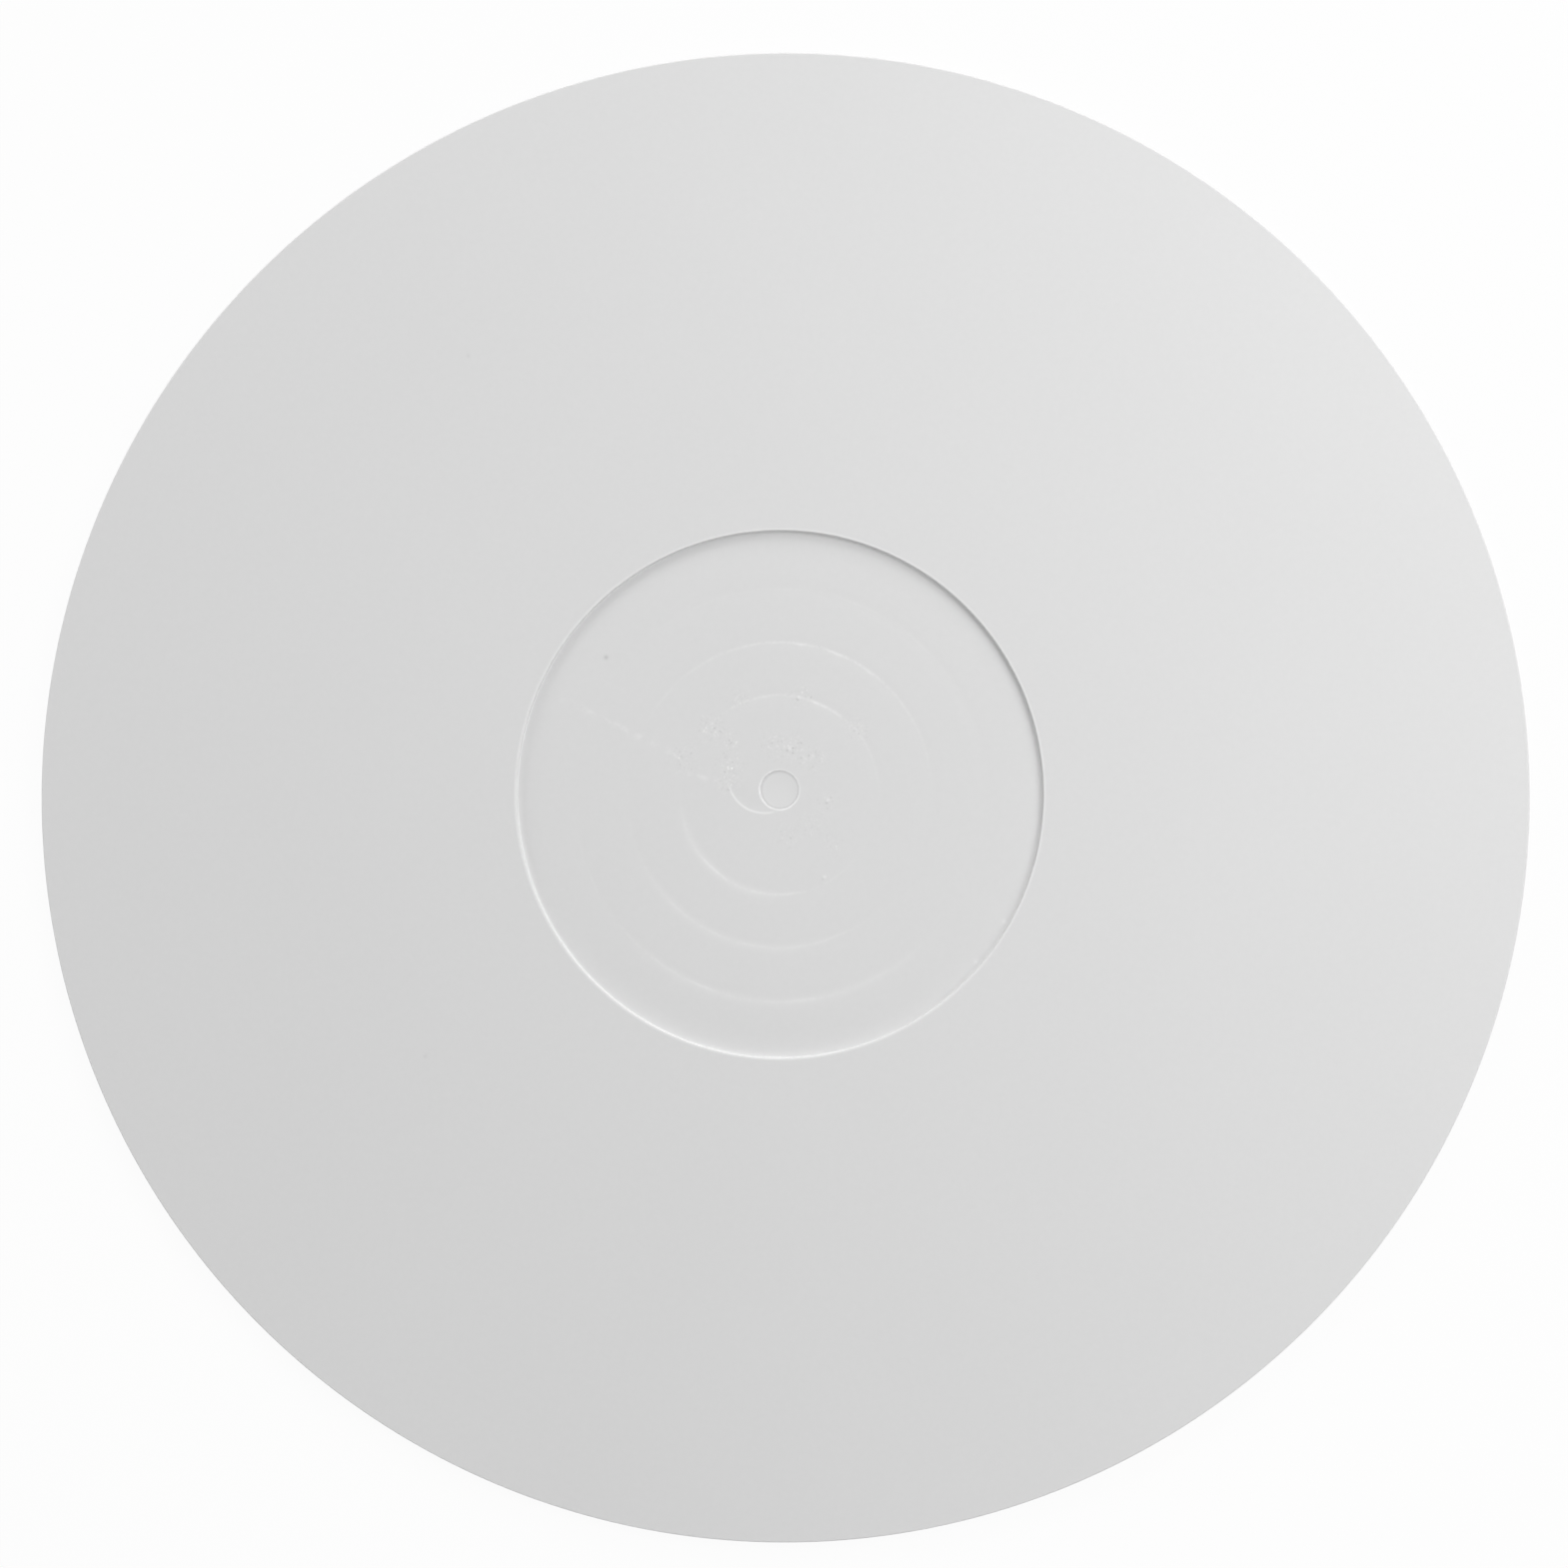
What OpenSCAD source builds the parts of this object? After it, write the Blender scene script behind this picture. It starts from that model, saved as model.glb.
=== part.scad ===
// Turntable mat: one acrylic disc, 12 inch size, with a recess for the record's label.
// It lies on the plane z = 0 with its outline centred on the z axis, playing face up.

/* [Disc] */
// Outer diameter
mat_d = 295; // [285:1:305]
// Thickness of the sheet
mat_t = 3; // [2.4:0.1:6]
// Radius that rounds the upper rim
rim_r = 0.25; // [0.2:0.05:0.9]
// Radius that rounds the lower rim
foot_r = 0.3; // [0.1:0.05:0.5]

/* [Label recess] */
// Diameter of the recess at its wall
label_d = 104.5; // [102:0.5:120]
// Depth of the recess below the playing face
label_depth = 1.2; // [0.8:0.05:1.6]
// Radius that rounds the lip of the recess
lip_r = 0.2; // [0.1:0.05:0.4]
// Radius that the cutter leaves where the wall meets the floor
corner_r = 0.2; // [0.05:0.05:0.4]

/* [Spindle hole] */
// Diameter of the hole
hole_d = 7.6; // [7.2:0.05:9]
// Distance from the centre of the disc to the hole, towards the back
hole_shift = 0.8; // [0:0.1:2]
// Width of the break at both ends of the hole
hole_break = 0.2; // [0.1:0.05:0.3]

/* [Cutter passes] */
// Radius of the innermost pass mark on the floor of the recess
pass_r = 20.1; // [12:0.1:26]
// Distance between neighbouring pass marks
pass_step = 10.2; // [5:0.1:14]
// Width of a pass mark
pass_w = 3; // [1:0.1:4]
// Depth of a pass mark
pass_depth = 0.03; // [0.01:0.005:0.06]

/* [Hidden] */
outer_r = mat_d / 2;
recess_r = label_d / 2;
floor_r = recess_r - corner_r;
floor_z = mat_t - label_depth;
pass_last = floor((floor_r - pass_w / 2 - pass_r) / pass_step);
arc_steps = 8;
circle_fn = 256;
cut_over = 1;

// Points of an arc about the centre c, from angle a0 to angle a1
function arc(c, r, a0, a1) = [
    for (i = [0 : arc_steps])
        let (a = a0 + (a1 - a0) * i / arc_steps)
        c + r * [cos(a), sin(a)]
];

// Points of one pass mark, from its outer edge to its inner edge
function pass_mark(r) = [
    [r + pass_w / 2, floor_z],
    [r, floor_z - pass_depth],
    [r - pass_w / 2, floor_z]
];

// Half of the disc's section, from the axis along the underside, the rim, the top and the recess
module disc_section() {
    polygon(concat(
        [[0, 0]],
        arc([outer_r - foot_r, foot_r], foot_r, -90, 0),
        arc([outer_r - rim_r, mat_t - rim_r], rim_r, 0, 90),
        arc([recess_r + lip_r, mat_t - lip_r], lip_r, 90, 180),
        arc([recess_r - corner_r, floor_z + corner_r], corner_r, 0, -90),
        [for (k = [pass_last : -1 : 0]) each pass_mark(pass_r + k * pass_step)],
        [[0, floor_z]]
    ));
}

// The spindle's hole, with its broken edges at the underside and at the recess floor
module spindle_hole() {
    hole_r = hole_d / 2;
    mouth_r = hole_r + hole_break + cut_over;
    translate([0, hole_shift, 0]) {
        translate([0, 0, -cut_over])
            cylinder(r = hole_r, h = mat_t + 2 * cut_over, $fn = circle_fn);
        translate([0, 0, -cut_over])
            cylinder(r1 = mouth_r, r2 = hole_r, h = mouth_r - hole_r, $fn = circle_fn);
        translate([0, 0, floor_z - hole_break])
            cylinder(r1 = hole_r, r2 = mouth_r, h = mouth_r - hole_r, $fn = circle_fn);
    }
}

module mat() {
    color("whitesmoke")
        difference() {
            rotate_extrude($fn = circle_fn) disc_section();
            spindle_hole();
        }
}

mat();
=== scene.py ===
"""Looks of a white acrylic turntable mat: a machined disc with a label recess and a spindle hole."""

import logging
import math
from dataclasses import dataclass, field
from enum import Enum
from typing import Callable, Iterable, Sequence

import bmesh
import bpy
from mathutils import Matrix, Vector


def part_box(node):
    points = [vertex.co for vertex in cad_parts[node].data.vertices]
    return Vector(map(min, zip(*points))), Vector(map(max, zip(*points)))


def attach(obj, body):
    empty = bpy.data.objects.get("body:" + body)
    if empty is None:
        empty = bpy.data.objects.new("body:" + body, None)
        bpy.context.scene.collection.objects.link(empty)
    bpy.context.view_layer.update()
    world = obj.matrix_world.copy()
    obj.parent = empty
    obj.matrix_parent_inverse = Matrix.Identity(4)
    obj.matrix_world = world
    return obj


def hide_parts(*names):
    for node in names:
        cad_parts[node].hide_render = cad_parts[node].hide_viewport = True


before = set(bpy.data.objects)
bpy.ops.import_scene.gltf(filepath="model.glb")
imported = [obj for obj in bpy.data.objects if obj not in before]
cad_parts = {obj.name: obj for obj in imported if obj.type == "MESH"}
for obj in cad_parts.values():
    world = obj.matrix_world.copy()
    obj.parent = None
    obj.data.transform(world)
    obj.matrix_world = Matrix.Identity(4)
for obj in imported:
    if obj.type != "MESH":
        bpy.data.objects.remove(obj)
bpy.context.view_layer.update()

log = logging.getLogger("turntable_mat")
MM = 0.001
NODE = "mat"


class Axis(Enum):
    """Named parts of a vector, in the order of Separate XYZ's outputs."""

    X = 0
    Y = 1
    Z = 2


class Wire:
    """A number on its way through a shader. An operation on it adds its Math node."""

    def __init__(self, tree: bpy.types.NodeTree, socket: bpy.types.NodeSocket) -> None:
        """Wraps one output socket of the tree."""
        self.tree = tree
        self.socket = socket

    def math(self, operation: str, *others: "Wire | float", clamp: bool = False) -> "Wire":
        """Adds a Math node.

        Args:
            operation: Name of the operation, such as MULTIPLY.
            others: The second and third operands, if the operation has them.
            clamp: Whether the result is held from 0 to 1.

        Returns:
            The node's result.
        """
        return join(self.tree, operation, self, *others, clamp=clamp)

    def __add__(self, other: "Wire | float") -> "Wire":
        """Sum."""
        return self.math("ADD", other)

    def __radd__(self, other: float) -> "Wire":
        """Sum with a number in front."""
        return self.math("ADD", other)

    def __sub__(self, other: "Wire | float") -> "Wire":
        """Difference."""
        return self.math("SUBTRACT", other)

    def __rsub__(self, other: float) -> "Wire":
        """Difference from a number."""
        return join(self.tree, "SUBTRACT", other, self)

    def __mul__(self, other: "Wire | float") -> "Wire":
        """Product."""
        return self.math("MULTIPLY", other)

    def __rmul__(self, other: float) -> "Wire":
        """Product with a number in front."""
        return self.math("MULTIPLY", other)

    def __truediv__(self, other: "Wire | float") -> "Wire":
        """Quotient."""
        return self.math("DIVIDE", other)

    def __rtruediv__(self, other: float) -> "Wire":
        """Quotient of a number by this."""
        return join(self.tree, "DIVIDE", other, self)

    def __pow__(self, other: "Wire | float") -> "Wire":
        """Power."""
        return self.math("POWER", other)

    def __neg__(self) -> "Wire":
        """Opposite."""
        return self.math("MULTIPLY", -1.0)

    def __abs__(self) -> "Wire":
        """Size without its sign."""
        return self.math("ABSOLUTE")

    @staticmethod
    def total(parts: "Iterable[Wire]") -> "Wire":
        """Sum of several wires."""
        first, *others = parts
        for part in others:
            first = first + part
        return first

    def bell(self, width: float) -> "Wire":
        """A bump function: 1 where this is 0, falling off over a width."""
        scaled = self * (1.0 / width)
        return (scaled * scaled * -0.5).math("EXPONENT")

    def rise(self, start: float, end: float) -> "Wire":
        """A smooth step from 0 at start to 1 at end."""
        t = ((self - start) * (1.0 / (end - start))).math("MULTIPLY", 1.0, clamp=True)
        return t * t * (3.0 - 2.0 * t)


def join(tree: bpy.types.NodeTree, operation: str, *parts: "Wire | float", clamp: bool = False) -> Wire:
    """Adds a Math node for wires and numbers.

    Args:
        tree: The node tree.
        operation: Name of the Math node's operation.
        parts: Its operands.
        clamp: Whether the result is held from 0 to 1.

    Returns:
        The node's result.
    """
    made = tree.nodes.new("ShaderNodeMath")
    made.operation = operation
    made.use_clamp = clamp
    for slot, part in zip(made.inputs, parts):
        if isinstance(part, Wire):
            tree.links.new(part.socket, slot)
        else:
            slot.default_value = part
    return Wire(tree, made.outputs[0])


class Shader:
    """A material's or a world's node tree, cleared and ready to be filled."""

    def __init__(self, owner: "bpy.types.Material | bpy.types.World") -> None:
        """Clears the owner's nodes."""
        owner.use_nodes = True
        self.tree = owner.node_tree
        self.tree.nodes.clear()

    def node(self, kind: str, settings: dict | None = None, inputs: dict | None = None) -> bpy.types.Node:
        """Adds a node.

        Args:
            kind: Node type without its ShaderNode prefix.
            settings: Properties, set before the inputs.
            inputs: Values, sockets or wires for its inputs, by name or number.

        Returns:
            The node.
        """
        made = self.tree.nodes.new("ShaderNode" + kind)
        for name, value in (settings or {}).items():
            setattr(made, name, value)
        for name, value in (inputs or {}).items():
            slot = made.inputs[name]
            if isinstance(value, Wire):
                value = value.socket
            if isinstance(value, bpy.types.NodeSocket):
                self.tree.links.new(value, slot)
            else:
                slot.default_value = value
        return made

    def wire(self, node: bpy.types.Node, output: "str | int" = 0) -> Wire:
        """One output of a node, ready for shader maths."""
        return Wire(self.tree, node.outputs[output])

    def place(self) -> tuple[bpy.types.NodeSocket, Wire, Wire, Wire]:
        """The point that is shaded.

        Returns:
            Its Object coordinates as a vector in metres, and x, y and z as wires in millimetres.
        """
        where = self.node("TexCoord").outputs["Object"]
        parts = self.node("SeparateXYZ", inputs={0: where})
        x, y, z = (self.wire(parts, axis.value) * (1.0 / MM) for axis in Axis)
        return where, x, y, z

    def noise(self, where: bpy.types.NodeSocket, per_metre: float, detail: float = 2.0) -> Wire:
        """Noise about 0, from -0.5 to 0.5, with so many cells to the metre."""
        made = self.node("TexNoise", inputs={"Vector": where, "Scale": per_metre, "Detail": detail})
        return self.wire(made) - 0.5

    def output(self, surface: bpy.types.NodeSocket, kind: str = "OutputMaterial") -> None:
        """Ends the tree at a surface."""
        self.node(kind, inputs={"Surface": surface})


@dataclass(frozen=True)
class PassRing:
    """A ring where two of the cutter's passes meet. Lengths are in millimetres.

    It shows as a painted glint, a fine line with a tone of its own below and above the hole, and as the
    painted lit side of its groove, a soft band about a heading in degrees, counter-clockwise from the right.
    """

    radius: float
    low_glint: float
    high_glint: float
    band: float
    lit_band_heading: float


@dataclass(frozen=True)
class Spot:
    """A small spot of tone: a chip, or one side of a nick painted lit or shaded, dark if its tone is below 0;
    or a patch of flecks. Lengths are in millimetres.
    """

    x: float
    y: float
    size: float
    tone: float

    def mask(self, x: Wire, y: Wire) -> Wire:
        """A round bump about the spot, as high as its tone."""
        dx, dy = x - self.x, y - self.y
        return ((dx * dx + dy * dy) * (-0.5 / self.size ** 2)).math("EXPONENT") * self.tone


@dataclass(frozen=True)
class Stroke:
    """A faint straight mark between two places. Lengths are in millimetres."""

    x0: float
    y0: float
    x1: float
    y1: float
    width: float

    def mask(self, x: Wire, y: Wire) -> Wire:
        """A soft line from end to end, 1 along its middle."""
        length = math.hypot(self.x1 - self.x0, self.y1 - self.y0)
        ux, uy = (self.x1 - self.x0) / length, (self.y1 - self.y0) / length
        dx, dy = x - self.x0, y - self.y0
        along, across = dx * ux + dy * uy, dx * -uy + dy * ux
        return across.bell(self.width) * along.rise(0.0, 3.0) * (1.0 - along.rise(length - 1.5, length))


@dataclass(frozen=True)
class Marks:
    """What the cutter and the years left on the mat, with painted light and shade on some marks. Lengths are
    in millimetres.
    """

    rings: tuple[PassRing, ...] = (
        PassRing(19.8, 0.055, 0.075, 0.036, 232.0),
        PassRing(30.3, 0.034, 0.080, 0.026, 249.0),
        PassRing(40.95, 0.038, 0.016, 0.028, 268.0),
    )
    # Heading of the light, in radians: the painted glints on the rings are brightest where a ring's radius
    # points along it.
    light_heading: float = math.radians(72.0)
    line_width: float = 0.20
    band_width: float = 0.60
    ring_shift: float = -0.2
    # Cosines from a band's heading at which its painted lit band begins and is whole.
    band_start: float = 0.66
    band_full: float = 0.97
    groove_depth: float = 0.03
    groove_half: float = 2.0
    plunge_x: float = -2.96
    plunge_y: float = 3.51
    plunge_radius: float = 7.3
    plunge_heading: float = math.radians(241.0)
    plunge_depth: float = 0.055
    plunge_wall: float = 0.36
    strokes: tuple[Stroke, ...] = (
        Stroke(-44.5, 19.6, -19.5, 7.2, 0.45),
        Stroke(-20.0, 4.8, -10.7, 1.7, 0.40),
    )
    # Each pale spot with a dark one beside it, on the side away from the lamps, paints the lit and shaded
    # sides of a nick: painted light and shade. Each single spot is a chip.
    chips_and_painted_shading: tuple[Spot, ...] = (
        Spot(-34.5, 27.2, 0.30, -0.16),
        Spot(9.7, -1.2, 0.22, 0.10),
        Spot(9.3, -1.8, 0.20, -0.08),
        Spot(9.0, -16.4, 0.22, 0.10),
        Spot(8.6, -16.9, 0.20, -0.06),
        Spot(2.0, 9.1, 0.24, 0.09),
        Spot(1.5, 8.6, 0.20, -0.06),
        Spot(44.4, -25.3, 0.30, 0.06),
        Spot(38.8, -33.2, 0.30, 0.06),
        Spot(-62.0, 87.4, 0.28, -0.05),
        Spot(-70.3, -52.0, 0.28, -0.05),
    )
    flecks: tuple[Spot, ...] = (
        Spot(-10.3, 2.0, 1.3, 1.0),
        Spot(-10.0, 5.6, 1.6, 0.8),
        Spot(-8.1, 18.9, 1.2, 0.9),
        Spot(-13.7, 13.0, 1.5, 1.0),
        Spot(-9.7, 10.8, 1.1, 0.9),
        Spot(-19.3, 7.2, 1.8, 0.7),
        Spot(-1.6, 9.6, 1.6, 0.9),
        Spot(2.6, 9.4, 1.5, 1.0),
        Spot(6.8, 6.9, 1.7, 0.7),
        Spot(9.7, -1.4, 1.0, 1.0),
        Spot(4.6, 19.6, 1.4, 0.8),
        Spot(15.2, 12.8, 1.5, 0.6),
        Spot(6.6, -5.8, 1.4, 0.6),
        Spot(1.6, -8.4, 1.5, 0.6),
        Spot(10.4, -10.2, 1.4, 0.5),
    )

    def depth(self, x: float, y: float) -> float:
        """How far the cutter went below the recess floor.

        Args:
            x: Place to the right of the axis.
            y: Place behind the axis.

        Returns:
            The depth in millimetres.
        """
        total = 0.0
        from_centre = math.hypot(x, y - self.ring_shift)
        for ring in self.rings:
            off = abs(from_centre - ring.radius) / self.groove_half
            if off < 1.0:
                total += self.groove_depth * 0.5 * (1.0 + math.cos(math.pi * off))
        px, py = x - self.plunge_x, y - self.plunge_y
        inside = smooth_step((self.plunge_radius - math.hypot(px, py)) / self.plunge_wall + 0.5)
        along = px * math.cos(self.plunge_heading) + py * math.sin(self.plunge_heading)
        return total + self.plunge_depth * inside * smooth_step((along - 3.2) / 3.0)

    def painted_ring_light(self, x: Wire, y: Wire, wander: Wire, broken: Wire) -> Wire:
        """Painted glints on the pass rings, brightest along the light's heading, and painted lit sides of
        their grooves.

        Args:
            x: Place to the right of the axis.
            y: Place behind the axis.
            wander: How far the fine lines stray from their rings.
            broken: What breaks up the fine lines, from 0 up.

        Returns:
            The painted lift in tone.
        """
        y = y - self.ring_shift
        radius = (x * x + y * y) ** 0.5
        # How far the radius points along the light's heading: the painted glints follow its square.
        across = (x * math.cos(self.light_heading) + y * math.sin(self.light_heading)) / radius
        low = across.rise(0.1, -0.1)
        lines, bands = [], []
        for ring in self.rings:
            off = radius - ring.radius
            tone = ring.high_glint + (ring.low_glint - ring.high_glint) * low
            lines.append((off + wander).bell(self.line_width) * tone)
            # The band paints the lit side of the ring's groove, on the side of the ring away from the lamps,
            # where the groove's wall faces them.
            heading = math.radians(ring.lit_band_heading)
            sided = (x * math.cos(heading) + y * math.sin(heading)) / radius
            bands.append(off.bell(self.band_width) * sided.rise(self.band_start, self.band_full) * ring.band)
        return Wire.total(lines) * across * across * broken + Wire.total(bands)

    def painted_plunge_highlight(self, x: Wire, y: Wire) -> Wire:
        """Painted highlight along the wall of the plunge cut beside the spindle hole, on the side where that
        wall faces the lamps.
        """
        px, py = x - self.plunge_x, y - self.plunge_y
        radius = (px * px + py * py) ** 0.5
        along = (px * math.cos(self.plunge_heading) + py * math.sin(self.plunge_heading)) / radius
        return (radius - self.plunge_radius).bell(0.15) * along.rise(0.70, 0.78)


def smooth_step(value: float) -> float:
    """A smooth step from 0 at 0 to 1 at 1."""
    held = min(max(value, 0.0), 1.0)
    return held * held * (3.0 - 2.0 * held)


@dataclass(frozen=True)
class Acrylic:
    """White acrylic sheet: satin faces, and paler surfaces where it was cut, partly a frosted cut and partly
    painted light where the sheet glows at its edges, with painted highlights on edges and marks.
    """

    shade: float = 0.729
    roughness: float = 0.42
    ior: float = 1.49
    # Lift on the cut surfaces: partly a frosted cut, partly painted light where the translucent sheet glows at
    # its edges.
    cut_and_painted_glow: float = 0.03
    # Painted highlight just outside the recess lip and the hole's edge.
    painted_edge_highlight: float = 0.052
    floor_drop: float = 0.004

    def cut_mask(self, mat: "Mat", x: Wire, y: Wire) -> Wire:
        """Mask of the surfaces that the cutter made: the recess wall, the outer edge and the hole.

        Args:
            mat: The disc, for its sizes.
            x: Place to the right of the axis.
            y: Place behind the axis.

        Returns:
            The mask, from 0 to 1.
        """
        radius = (x * x + y * y) ** 0.5
        wall = mat.label_radius / MM
        recess = radius.rise(wall - 0.40, wall - 0.25) * (1.0 - radius.rise(wall + 0.20, wall + 0.35))
        rim = mat.radius / MM - mat.rim_round / MM
        outside = radius.rise(rim - 0.1, rim + 0.05)
        # The hole's edge counts 2.5 times, so its paleness, partly painted light, shows all round it.
        hole = (1.0 - self.from_hole(mat, x, y).rise(0.20, 0.30)) * 2.5
        return recess.math("MAXIMUM", outside).math("MAXIMUM", hole)

    def from_hole(self, mat: "Mat", x: Wire, y: Wire) -> Wire:
        """Distance outside the wall of the spindle hole."""
        dy = y - mat.hole_shift / MM
        return (x * x + dy * dy) ** 0.5 - mat.hole_radius / MM

    def edge_highlight_mask(self, mat: "Mat", x: Wire, y: Wire) -> Wire:
        """Mask of the painted highlight: thin pale lines just outside the recess lip and the hole's edge,
        where edges catch the light.
        """
        radius = (x * x + y * y) ** 0.5
        lip = (radius - (mat.label_radius / MM + 0.30)).bell(0.15)
        return lip.math("MAXIMUM", (self.from_hole(mat, x, y) - 0.22).bell(0.12) * 1.6)

    def material(self, mat: "Mat") -> bpy.types.Material:
        """Builds the material.

        Args:
            mat: The disc, for its sizes and its marks.

        Returns:
            The material.
        """
        made = bpy.data.materials.new("satin_acrylic")
        shader = Shader(made)
        where, x, y, z = shader.place()
        cut = self.cut_mask(mat, x, y)
        floor = mat.floor_mask(x, y, z)
        speckle = shader.noise(where, 1900.0) * 5.0
        flecks = speckle * speckle * speckle * Wire.total(spot.mask(x, y) for spot in mat.marks.flecks) * floor
        patchy = shader.noise(where, 190.0)
        broken = (0.60 + patchy * 3.6 + speckle * 0.4).math("MAXIMUM", 0.0)
        # Painted glints and painted lit bands on the pass rings.
        rings = mat.marks.painted_ring_light(x, y, patchy * 0.8, broken) * floor
        # Painted highlight on the wall of the plunge cut.
        plunge = mat.marks.painted_plunge_highlight(x, y) * floor
        uneven = (shader.noise(where, 700.0) * 4.0).rise(-0.5, 1.0)
        way_in = Wire.total(stroke.mask(x, y) for stroke in mat.marks.strokes) * floor * uneven
        grain = shader.noise(where, 900.0)
        cloud = shader.noise(where, 16.0)
        # Spots of tone: chip marks, and pairs that paint the lit and shaded sides of a nick.
        chips_and_painted_shading = Wire.total(spot.mask(x, y) for spot in mat.marks.chips_and_painted_shading)
        # Besides the sheet's own tones, the grey holds painted light: part of the cut lift, and all of the
        # edge highlight, the ring glints and bands, the plunge highlight and the nick pairs.
        grey = (
            self.shade + self.cut_and_painted_glow * cut + self.painted_edge_highlight * self.edge_highlight_mask(mat, x, y)
            - self.floor_drop * floor + rings + 0.075 * plunge + 0.055 * way_in
            + chips_and_painted_shading + 0.12 * flecks + 0.014 * cloud + 0.022 * grain
        )
        roughness = self.roughness + 0.10 * cut + 0.04 * cloud + 1.2 * rings
        turning = (z * (2.0 * math.pi / 0.24)).math("SINE") * cut * 0.0008
        height = (grain * 0.0005 + turning) * MM
        bump = shader.node("Bump", inputs={"Strength": 1.0, "Distance": 1.0, "Height": height})
        colour = shader.node("CombineColor", inputs={0: grey, 1: grey, 2: grey})
        surface = shader.node("BsdfPrincipled", inputs={
            "Base Color": colour.outputs[0],
            "Roughness": roughness,
            "IOR": self.ior,
            "Normal": bump.outputs[0],
        })
        shader.output(surface.outputs[0])
        return made


@dataclass(frozen=True)
class Paper:
    """The pale floor. The camera sees it as bright paper that keeps the object's shadow.

    Under the mat, where only the spindle hole shows it, the camera sees it less bright: painted shade under
    the mat, with a painted shadow at the foot of the hole's wall.
    """

    shade: float = 0.80
    # Brightness the camera sees under the mat: painted shade.
    under: float = 0.70
    under_lift: float = 0.92
    open_lift: float = 0.94
    far_start: float = 350.0
    far_end: float = 1100.0
    mat_radius: float = 145.0
    hole_shift: float = 0.8
    # Painted shadow at the foot of the hole's wall.
    painted_hole_shadow: float = 0.07

    def material(self) -> bpy.types.Material:
        """Builds the material."""
        made = bpy.data.materials.new("pale_paper")
        shader = Shader(made)
        _, x, y, _ = shader.place()
        seen = shader.wire(shader.node("LightPath"), "Is Camera Ray")
        radius = (x * x + y * y) ** 0.5
        around = radius.rise(self.mat_radius - 1.0, self.mat_radius)
        far = radius.rise(self.far_start, self.far_end)
        lit = shader.node("BsdfDiffuse", inputs={"Color": (self.shade,) * 3 + (1.0,)})
        dy = y - self.hole_shift
        # Painted shade under the mat, darker still in a painted shadow at the foot of the hole's wall.
        under = self.under - self.painted_hole_shadow * ((x * x + dy * dy) ** 0.5).rise(3.35, 3.55)
        strength = under + (1.0 - under) * around
        bright = shader.node("Emission", inputs={"Color": (1.0, 1.0, 1.0, 1.0), "Strength": strength})
        lift = self.under_lift + (self.open_lift - self.under_lift) * around + (1.0 - self.open_lift) * far
        surface = shader.node("MixShader", inputs={0: seen * lift, 1: lit.outputs[0], 2: bright.outputs[0]})
        shader.output(surface.outputs[0])
        return made


def clear_selection() -> None:
    """Deselects every object, so that the next operator acts on new work alone."""
    if bpy.context.object and bpy.context.object.mode != "OBJECT":
        bpy.ops.object.mode_set(mode="OBJECT")
    bpy.ops.object.select_all(action="DESELECT")


class Bench:
    """The piece under work in edit mode, with selections made by place."""

    def __init__(self, piece: bpy.types.Object) -> None:
        """Takes the piece into edit mode."""
        clear_selection()
        piece.select_set(True)
        bpy.context.view_layer.objects.active = piece
        bpy.ops.object.mode_set(mode="EDIT")
        bpy.ops.mesh.select_mode(type="FACE")
        self.piece = piece

    def faces(self, wanted: Callable[[bmesh.types.BMFace], bool]) -> int:
        """Selects the faces that pass a test.

        Args:
            wanted: The test.

        Returns:
            How many were selected.
        """
        bpy.ops.mesh.select_mode(type="FACE")
        bpy.ops.mesh.select_all(action="DESELECT")
        mesh = bmesh.from_edit_mesh(self.piece.data)
        count = 0
        for face in mesh.faces:
            if wanted(face):
                face.select_set(True)
                count += 1
        bmesh.update_edit_mesh(self.piece.data)
        return count

    def edges(self, wanted: Callable[[bmesh.types.BMEdge], bool]) -> int:
        """Selects the edges that pass a test.

        Args:
            wanted: The test.

        Returns:
            How many were selected.
        """
        bpy.ops.mesh.select_mode(type="EDGE")
        bpy.ops.mesh.select_all(action="DESELECT")
        mesh = bmesh.from_edit_mesh(self.piece.data)
        count = 0
        for edge in mesh.edges:
            if wanted(edge):
                edge.select_set(True)
                count += 1
        bmesh.update_edit_mesh(self.piece.data)
        return count

    def ring(self, radius: float, height: float, shift: float = 0.0) -> int:
        """Selects the edges of a level circle.

        Args:
            radius: The circle's radius.
            height: Its height above the floor.
            shift: How far its centre lies from the axis, along +Y.

        Returns:
            How many edges were selected.
        """
        near = 0.02 * MM

        def on_circle(edge: bmesh.types.BMEdge) -> bool:
            """Whether both ends lie on the circle."""
            return all(
                abs(end.co.z - height) < near
                and abs(math.hypot(end.co.x, end.co.y - shift) - radius) < near
                for end in edge.verts
            )

        return self.edges(on_circle)

    def done(self) -> None:
        """Leaves edit mode."""
        bpy.ops.object.mode_set(mode="OBJECT")


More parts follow.
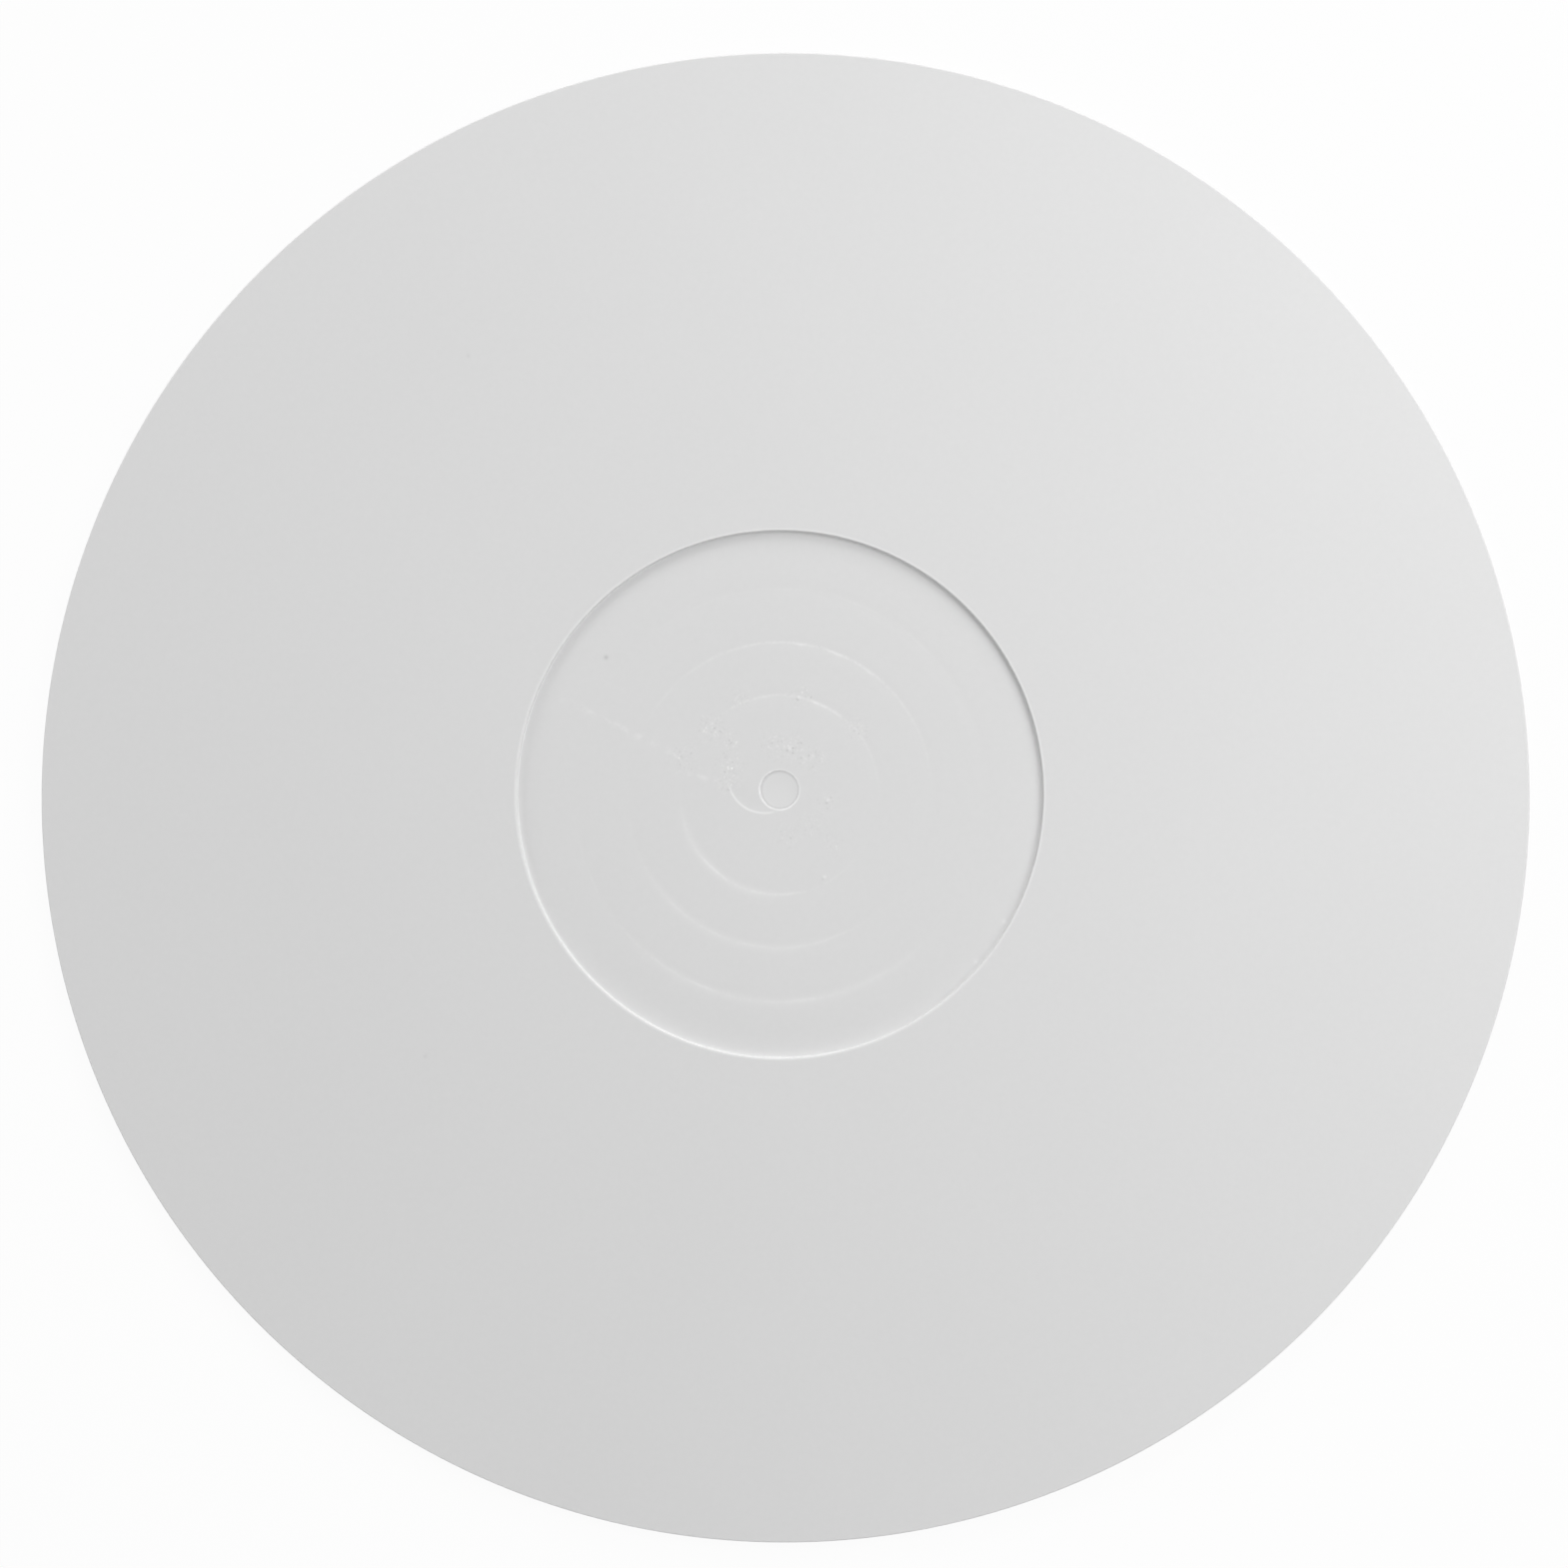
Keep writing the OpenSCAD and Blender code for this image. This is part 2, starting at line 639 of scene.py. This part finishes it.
@dataclass
class Mat:
    """The disc, modelled as a blank that is recessed, bored and broken at its edges."""

    radius: float
    thickness: float
    label_radius: float = 52.25 * MM
    label_depth: float = 1.2 * MM
    hole_radius: float = 3.8 * MM
    hole_shift: float = 0.8 * MM
    hole_break: float = 0.2 * MM
    rim_round: float = 0.25 * MM
    foot_round: float = 0.3 * MM
    lip_round: float = 0.2 * MM
    corner_round: float = 0.2 * MM
    sides: int = 384
    coarse_step: float = 0.8 * MM
    fine_step: float = 0.25 * MM
    hub_start: float = 16.5 * MM
    hub_radius: float = 4.2 * MM
    hub_step: float = 0.18 * MM
    marks: Marks = field(default_factory=Marks)

    @property
    def floor_height(self) -> float:
        """Height of the recess floor."""
        return self.thickness - self.label_depth

    def blank(self) -> bpy.types.Object:
        """Adds the plain disc."""
        clear_selection()
        bpy.ops.mesh.primitive_cylinder_add(
            vertices=self.sides, radius=self.radius, depth=self.thickness,
            end_fill_type="NGON", location=(0.0, 0.0, self.thickness / 2),
        )
        piece = bpy.context.object
        piece.name = "acrylic_disc"
        bpy.ops.object.transform_apply(location=True, rotation=True, scale=True)
        return piece

    def cap(self, bench: Bench, height: float) -> int:
        """Selects the one big face that lies level at a height about the axis."""
        return bench.faces(lambda face: len(face.verts) == self.sides
                           and abs(face.calc_center_median().z - height) < 0.01 * MM)

    def recess(self, bench: Bench) -> None:
        """Sinks the label recess and lays rings of faces on its floor."""
        self.cap(bench, self.thickness)
        bpy.ops.mesh.inset(thickness=self.radius - self.label_radius, depth=0.0)
        bpy.ops.mesh.extrude_region_move(TRANSFORM_OT_translate={"value": (0.0, 0.0, -self.label_depth)})
        here = self.label_radius
        for there in self.floor_radii():
            bpy.ops.mesh.inset(thickness=here - there, depth=0.0)
            here = there
        steps = round((here - self.hub_radius) / self.hub_step)
        for _ in range(steps):
            bpy.ops.mesh.inset(thickness=(here - self.hub_radius) / steps, depth=0.0)
            bpy.ops.transform.translate(value=(0.0, self.hole_shift / steps, 0.0))
        bpy.ops.mesh.inset(thickness=self.hub_radius - self.hole_radius, depth=0.0)

    def floor_radii(self) -> list[float]:
        """Radii of the rings of faces on the recess floor, from the wall to the hub, closer at the marks."""
        radii: list[float] = []
        radius = self.label_radius - 0.8 * MM
        while radius > self.hub_start:
            radii.append(radius)
            near = any(abs(radius - ring.radius * MM) < 2.2 * MM for ring in self.marks.rings)
            radius -= self.fine_step if near else self.coarse_step
        return radii

    def floor_mask(self, x: Wire, y: Wire, z: Wire) -> Wire:
        """Mask of the recess floor, inside its corner."""
        low = 1.0 - z.rise(self.floor_height / MM + 0.05, self.floor_height / MM + 0.15)
        wall = self.label_radius / MM
        return low * (1.0 - ((x * x + y * y) ** 0.5).rise(wall - 0.7, wall - 0.4))

    def engrave(self, piece: bpy.types.Object) -> None:
        """Sinks the cutter's marks into the recess floor."""
        group = piece.vertex_groups.new(name="cutter_marks")
        deepest = self.marks.groove_depth + self.marks.plunge_depth
        edge = self.label_radius - self.corner_round - 0.05 * MM
        for vertex in piece.data.vertices:
            x, y, z = vertex.co
            if abs(z - self.floor_height) < 0.01 * MM and math.hypot(x, y) < edge:
                depth = self.marks.depth(x / MM, y / MM)
                if depth > 0.0:
                    group.add([vertex.index], depth / deepest, "REPLACE")
        bpy.ops.object.modifier_add(type="DISPLACE")
        displace = piece.modifiers[-1]
        displace.direction = "Z"
        displace.vertex_group = group.name
        displace.mid_level = 0.0
        displace.strength = -deepest * MM
        bpy.ops.object.modifier_apply(modifier=displace.name)

    def bore(self, bench: Bench) -> None:
        """Opens the spindle hole through the floor."""
        self.cap(bench, 0.0)
        bpy.ops.mesh.inset(thickness=self.radius - self.hole_radius, depth=0.0)
        bpy.ops.transform.translate(value=(0.0, self.hole_shift, 0.0))
        small = self.hole_radius + 0.1 * MM

        def plug(face: bmesh.types.BMFace) -> bool:
            """Whether the face closes the hole at either end."""
            middle = face.calc_center_median()
            return (len(face.verts) == self.sides
                    and math.hypot(middle.x, middle.y - self.hole_shift) < 0.1 * MM
                    and max(math.hypot(v.co.x, v.co.y - self.hole_shift) for v in face.verts) < small)

        bench.faces(plug)
        bpy.ops.mesh.delete(type="FACE")
        bench.edges(lambda edge: edge.is_boundary)
        bpy.ops.mesh.bridge_edge_loops()

    def break_edges(self, bench: Bench) -> None:
        """Rounds the rims, the lip and the corner, and breaks the edges of the hole."""
        rounds = (
            (self.radius, self.thickness, 0.0, self.rim_round, 8),
            (self.radius, 0.0, 0.0, self.foot_round, 5),
            (self.label_radius, self.thickness, 0.0, self.lip_round, 6),
            (self.label_radius, self.floor_height, 0.0, self.corner_round, 6),
            (self.hole_radius, self.floor_height, self.hole_shift, self.hole_break, 3),
            (self.hole_radius, 0.0, self.hole_shift, self.hole_break, 3),
        )
        for radius, height, shift, size, segments in rounds:
            found = bench.ring(radius, height, shift)
            log.info("round of %.2f mm on %d edges at r %.2f mm", size / MM, found, radius / MM)
            bpy.ops.mesh.bevel(offset=size, offset_type="OFFSET", segments=segments,
                               profile=0.5, affect="EDGES", clamp_overlap=False)

    def build(self) -> bpy.types.Object:
        """Models the disc.

        Returns:
            The finished piece.
        """
        piece = self.blank()
        bench = Bench(piece)
        self.recess(bench)
        self.bore(bench)
        self.break_edges(bench)
        bpy.ops.mesh.select_all(action="SELECT")
        bpy.ops.mesh.normals_make_consistent(inside=False)
        bench.done()
        self.engrave(piece)
        bpy.ops.object.shade_smooth_by_angle(angle=math.radians(30.0))
        bpy.ops.object.modifier_add(type="WEIGHTED_NORMAL")
        bpy.context.object.modifiers[-1].keep_sharp = True
        bpy.ops.object.modifier_apply(modifier=bpy.context.object.modifiers[-1].name)
        return piece

    def dress(self, piece: bpy.types.Object, finish: Acrylic) -> None:
        """Gives the piece its finish and its place in the frame."""
        piece.data.materials.clear()
        piece.data.materials.append(finish.material(self))
        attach(piece, "root")
        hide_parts(NODE)


@dataclass(frozen=True)
class Softbox:
    """A rectangular lamp aimed at the middle of the mat.

    Its share is the light that it alone throws on the mat, where 1 lights a white sheet to plain white.
    """

    name: str
    azimuth: float
    elevation: float
    distance: float
    width: float
    height: float
    share: float

    def add(self) -> bpy.types.Object:
        """Adds the lamp."""
        a, e = math.radians(self.azimuth), math.radians(self.elevation)
        towards = Vector((math.cos(a) * math.cos(e), math.sin(a) * math.cos(e), math.sin(e)))
        clear_selection()
        bpy.ops.object.light_add(
            type="AREA", location=towards * self.distance,
            rotation=towards.to_track_quat("Z", "Y").to_euler(),
        )
        lamp = bpy.context.object
        lamp.name = self.name
        lamp.data.shape = "RECTANGLE"
        lamp.data.size = self.width
        lamp.data.size_y = self.height
        lamp.data.energy = math.pi ** 2 * self.share * self.distance ** 2 / math.sin(e)
        return lamp


@dataclass(frozen=True)
class Studio:
    """The pale floor, the lamps and the plain white surroundings."""

    floor_size: float = 8.0
    floor_gap: float = 0.05 * MM
    fill: float = 0.275
    lamps: tuple[Softbox, ...] = (
        Softbox("key_softbox", 13.0, 41.0, 0.81, 0.97, 0.39, 0.286),
        Softbox("low_softbox", 80.0, 25.0, 1.6, 1.57, 0.73, 0.190),
        Softbox("side_softbox", 162.0, 24.0, 2.0, 1.0, 0.83, 0.086),
        Softbox("high_softbox", 45.0, 62.0, 1.6, 0.60, 0.60, 0.165),
        Softbox("low_card", 255.0, 7.0, 1.2, 1.5, 0.20, 0.019),
    )

    def build(self) -> None:
        """Adds the floor, the lamps and the world."""
        clear_selection()
        bpy.ops.mesh.primitive_plane_add(size=self.floor_size, location=(0.0, 0.0, -self.floor_gap))
        floor = bpy.context.object
        floor.name = "pale_floor"
        bpy.ops.object.transform_apply(location=True, rotation=True, scale=True)
        floor.data.materials.append(Paper().material())
        for lamp in self.lamps:
            lamp.add()
        self.surroundings()

    def surroundings(self) -> None:
        """Makes the world: white to the eye and in reflections, softer as a light."""
        world = bpy.data.worlds.new("white_room")
        bpy.context.scene.world = world
        shader = Shader(world)
        path = shader.node("LightPath")
        seen = shader.wire(path, "Is Camera Ray")
        for other in ("Is Glossy Ray", "Is Transmission Ray"):
            seen = seen.math("MAXIMUM", shader.wire(path, other))
        strength = self.fill + (1.0 - self.fill) * seen
        back = shader.node("Background", inputs={"Color": (1.0, 1.0, 1.0, 1.0), "Strength": strength})
        shader.output(back.outputs[0], "OutputWorld")


@dataclass(frozen=True)
class ViewPoint:
    """Where the reference view was taken from: nearly straight down, leaning to the lower right."""

    tilt: float = math.radians(3.36)
    heading: float = math.radians(-30.2)
    distance: float = 0.850
    aim: tuple[float, float] = (0.00081, 0.00203)
    focal_px: float = 4283.2
    frame_px: int = 1569
    sensor: float = 36.0

    def add(self) -> bpy.types.Object:
        """Adds the camera and makes it the scene's own."""
        lean = math.sin(self.tilt)
        back = Vector((lean * math.cos(self.heading), lean * math.sin(self.heading), math.cos(self.tilt)))
        up = (Vector((0.0, 1.0, 0.0)) - back * back.y).normalized()
        right = up.cross(back)
        turn = Matrix((right, up, back)).transposed().to_euler()
        place = Vector((*self.aim, 0.0)) + back * self.distance
        clear_selection()
        bpy.ops.object.camera_add(location=place, rotation=turn)
        camera = bpy.context.object
        camera.name = "reference_view"
        camera.data.sensor_width = self.sensor
        camera.data.lens = self.sensor * self.focal_px / self.frame_px
        camera.data.clip_start = 0.01
        camera.data.clip_end = 50.0
        bpy.context.scene.camera = camera
        return camera


def main() -> None:
    """Builds the mat, its stage and its view, and reports each piece."""
    logging.basicConfig(level=logging.INFO, format="%(name)s: %(message)s")
    low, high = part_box(NODE)
    mat = Mat(radius=min(high.x, high.y, -low.x, -low.y), thickness=high.z - low.z)
    piece = mat.build()
    mat.dress(piece, Acrylic())
    log.info("%s: %d vertices, %d faces", piece.name, len(piece.data.vertices), len(piece.data.polygons))
    Studio().build()
    ViewPoint().add()
    bpy.context.scene.view_settings.view_transform = "Standard"


if __name__ == "__main__":
    main()
